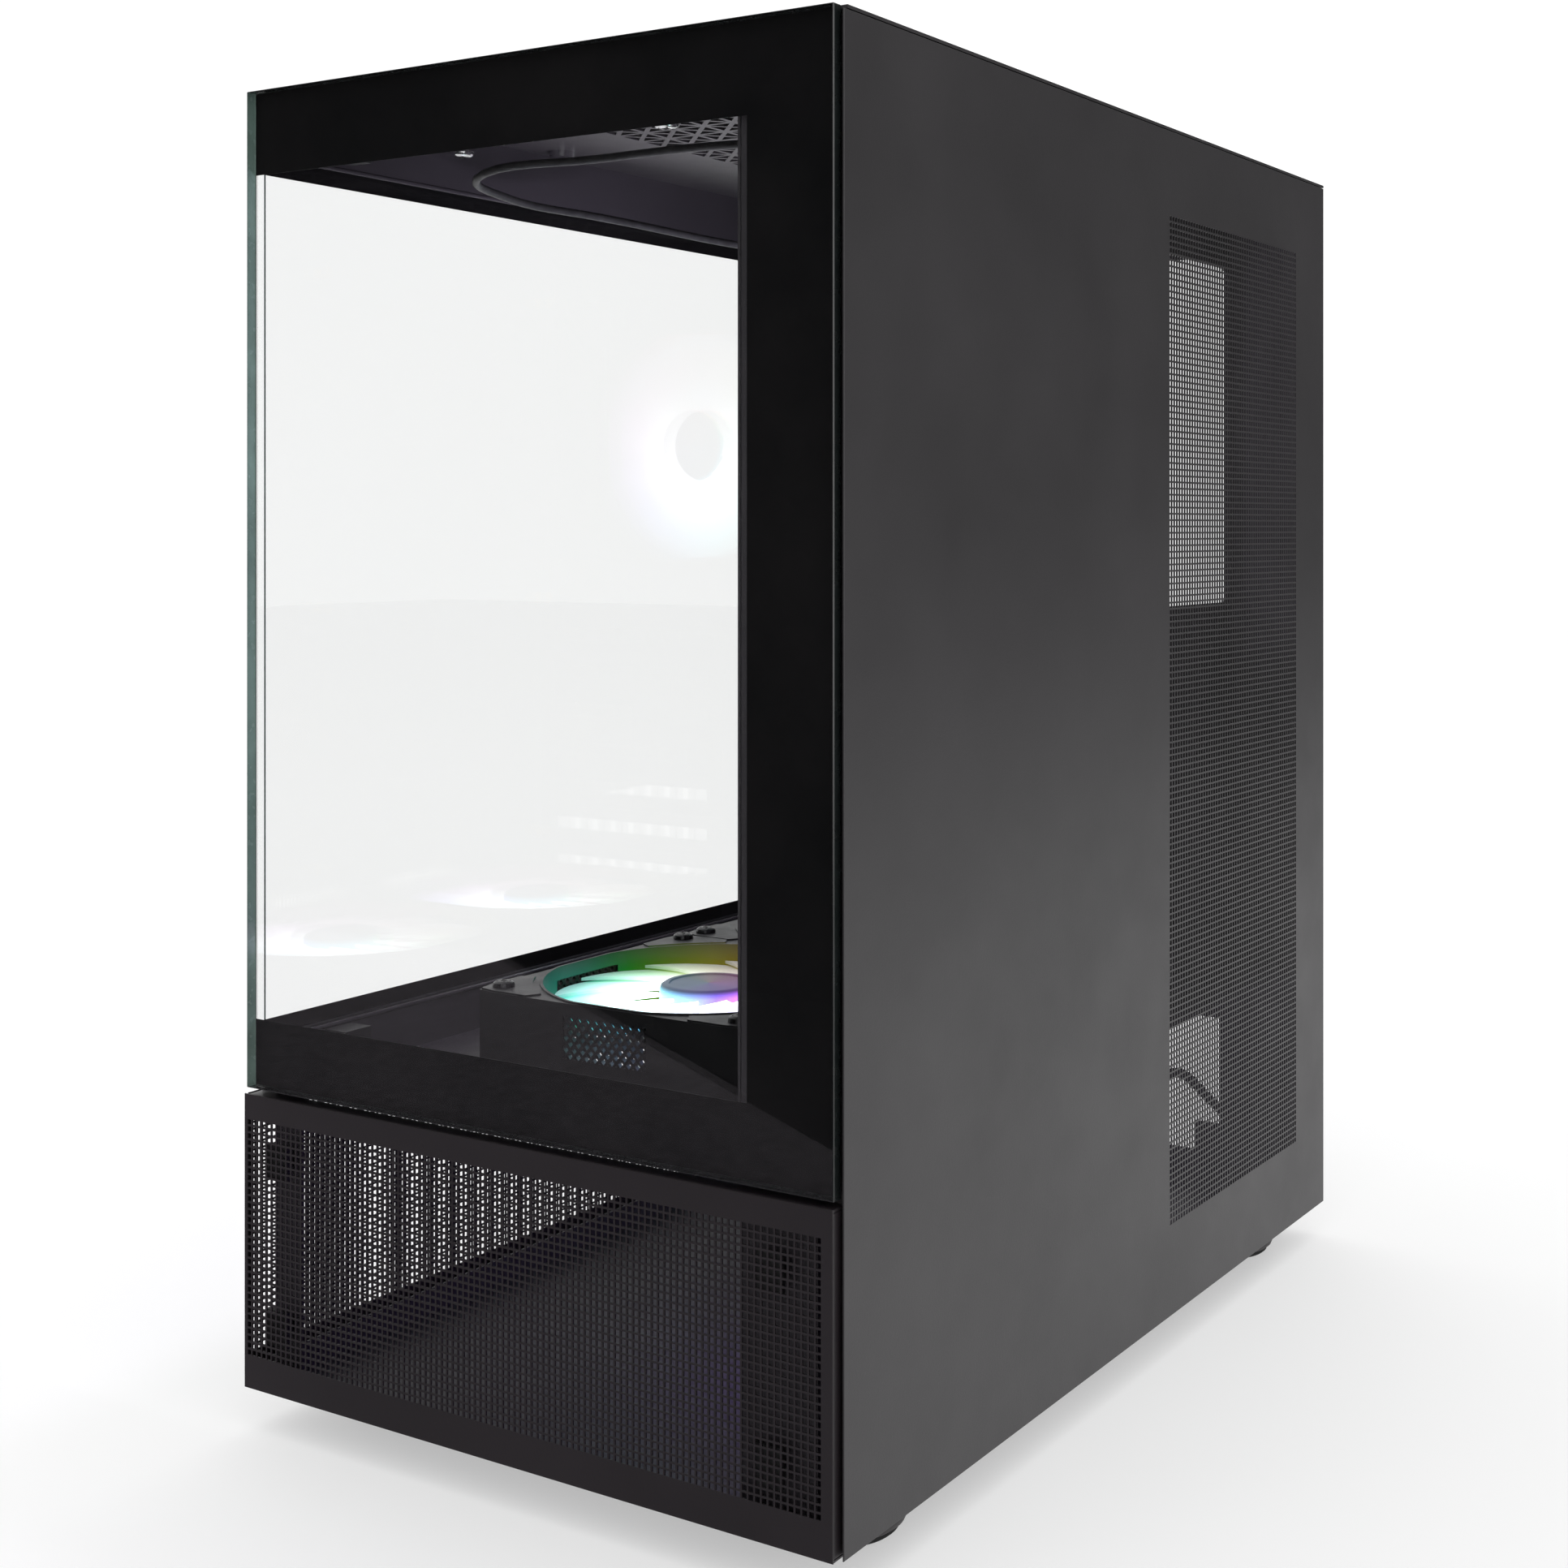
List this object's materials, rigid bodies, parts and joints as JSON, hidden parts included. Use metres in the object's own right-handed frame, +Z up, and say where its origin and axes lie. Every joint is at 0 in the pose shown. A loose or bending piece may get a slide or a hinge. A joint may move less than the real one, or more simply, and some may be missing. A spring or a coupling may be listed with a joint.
{
  "type": "desktop computer tower",
  "caption": "Mid tower computer chassis with a glass front and side that meet at one corner, a perforated lower cover, a vented steel side and lit fans.",
  "frame": {"origin": "on the surface that the feet stand on, under the middle of the bounding box", "axes": "+Z up, -Y is the glass front, +X is the side with the steel panel"},
  "size_m": [0.242, 0.386, 0.4556],
  "materials": {
    "chassis_steel": "black powder coat",
    "skin_steel": "satin black powder coat with a fine texture",
    "cover_steel": "satin black powder coat, perforated",
    "glass": "clear tempered glass, green at its edges",
    "glass_print": "black ceramic print behind the glass",
    "black_plastic": "moulded, fine grain",
    "fan_plastic": "moulded, satin",
    "lit_blade": "milky, lit from the hub",
    "led_board": "white solder mask with lamps",
    "button_plastic": "smooth",
    "rubber": "matte",
    "brass": "turned",
    "copper": "enamelled winding wire",
    "black_screw": "black zinc",
    "bright_screw": "bright nickel plate",
    "port_steel": "tinned shell",
    "circuit_board": "solder mask",
    "filter_mesh": "woven nylon",
    "cable": "sleeved"
  },
  "bodies": {
    "chassis": {"bottom_pan": "chassis_steel", "pan_flanges": "chassis_steel", "rear_panel": "chassis_steel", "motherboard_tray": "chassis_steel", "psu_shroud": "chassis_steel", "top_panel": "skin_steel", "top_rails": "chassis_steel", "left_corner_post": "chassis_steel", "right_front_channel": "chassis_steel", "left_mesh_panel": "cover_steel", "left_mesh_returns": "cover_steel", "feet": "black_plastic", "foot_pads": "rubber", "motherboard_standoffs": "brass", "slot_covers": "chassis_steel", "slot_screws": "black_screw", "stud_sockets": "black_plastic", "front_io_board": "circuit_board", "usb_ports": "port_steel", "audio_jack": "black_plastic", "front_io_bezel": "black_plastic", "push_switches": "black_plastic", "fan_hub": "black_plastic", "drive_bracket": "chassis_steel", "psu_rest_pads": "rubber", "fan_1_frame": "fan_plastic", "fan_2_frame": "fan_plastic", "fan_3_frame": "fan_plastic", "fan_led_boards": "led_board", "fan_stators": "copper", "fan_bearings": "brass", "fan_screws": "black_screw", "top_screws": "bright_screw", "fan_cable_front": "cable", "fan_cable_rear": "cable", "front_io_cable": "cable"},
    "rotor_1": {"fan_1_rotor": "lit_blade", "fan_1_shaft": "bright_screw"},
    "rotor_2": {"fan_2_rotor": "lit_blade", "fan_2_shaft": "bright_screw"},
    "rotor_3": {"fan_3_rotor": "lit_blade", "fan_3_shaft": "bright_screw"},
    "power_key": {"power_button": "button_plastic"},
    "reset_key": {"reset_button": "button_plastic"},
    "front_window": {"front_glass": "glass", "front_glass_brackets": "black_plastic", "front_glass_studs": "bright_screw"},
    "side_window": {"side_glass": "glass", "side_glass_brackets": "black_plastic", "side_glass_studs": "bright_screw"},
    "front_cover": {"front_mesh_cover": "cover_steel", "front_cover_returns": "cover_steel", "front_cover_clips": "black_plastic"},
    "right_cover": {"right_panel": "skin_steel", "right_panel_flanges": "skin_steel", "panel_thumbscrews": "black_screw"},
    "top_filter": {"top_filter_frame": "black_plastic", "top_filter_mesh": "filter_mesh"},
    "psu_filter": {"psu_filter_frame": "black_plastic", "psu_filter_mesh": "filter_mesh"}
  },
  "joints": [
    {"name": "fan_1_spin", "type": "hinge", "parent": "chassis", "child": "rotor_1", "pos_m": [-0.0236, -0.0615, 0.13], "axis": [0, 0, 1], "continuous": true},
    {"name": "fan_2_spin", "type": "hinge", "parent": "chassis", "child": "rotor_2", "pos_m": [-0.0236, 0.0585, 0.13], "axis": [0, 0, 1], "continuous": true},
    {"name": "fan_3_spin", "type": "hinge", "parent": "chassis", "child": "rotor_3", "pos_m": [-0.0367, 0.17, 0.347], "axis": [0, 1, 0], "continuous": true},
    {"name": "power_press", "type": "slide", "parent": "chassis", "child": "power_key", "axis": [0, 0, -1], "range_m": [0, 0.0008], "stiffness_N_per_m": 500, "springref_m": -0.001},
    {"name": "reset_press", "type": "slide", "parent": "chassis", "child": "reset_key", "axis": [0, 0, -1], "range_m": [0, 0.0008], "stiffness_N_per_m": 300, "springref_m": -0.001},
    {"name": "front_glass_pull", "type": "slide", "parent": "chassis", "child": "front_window", "axis": [0, -1, 0], "range_m": [0, 0.06]},
    {"name": "side_glass_pull", "type": "slide", "parent": "chassis", "child": "side_window", "axis": [-1, 0, 0], "range_m": [0, 0.06]},
    {"name": "front_cover_pull", "type": "slide", "parent": "chassis", "child": "front_cover", "axis": [0, -1, 0], "range_m": [0, 0.06]},
    {"name": "right_panel_slide", "type": "slide", "parent": "chassis", "child": "right_cover", "axis": [0, 1, 0], "range_m": [0, 0.02]},
    {"name": "top_filter_lift", "type": "slide", "parent": "chassis", "child": "top_filter", "axis": [0, 0, 1], "range_m": [0, 0.05]},
    {"name": "psu_filter_slide", "type": "slide", "parent": "chassis", "child": "psu_filter", "axis": [0, 1, 0], "range_m": [0, 0.14]}
  ]
}
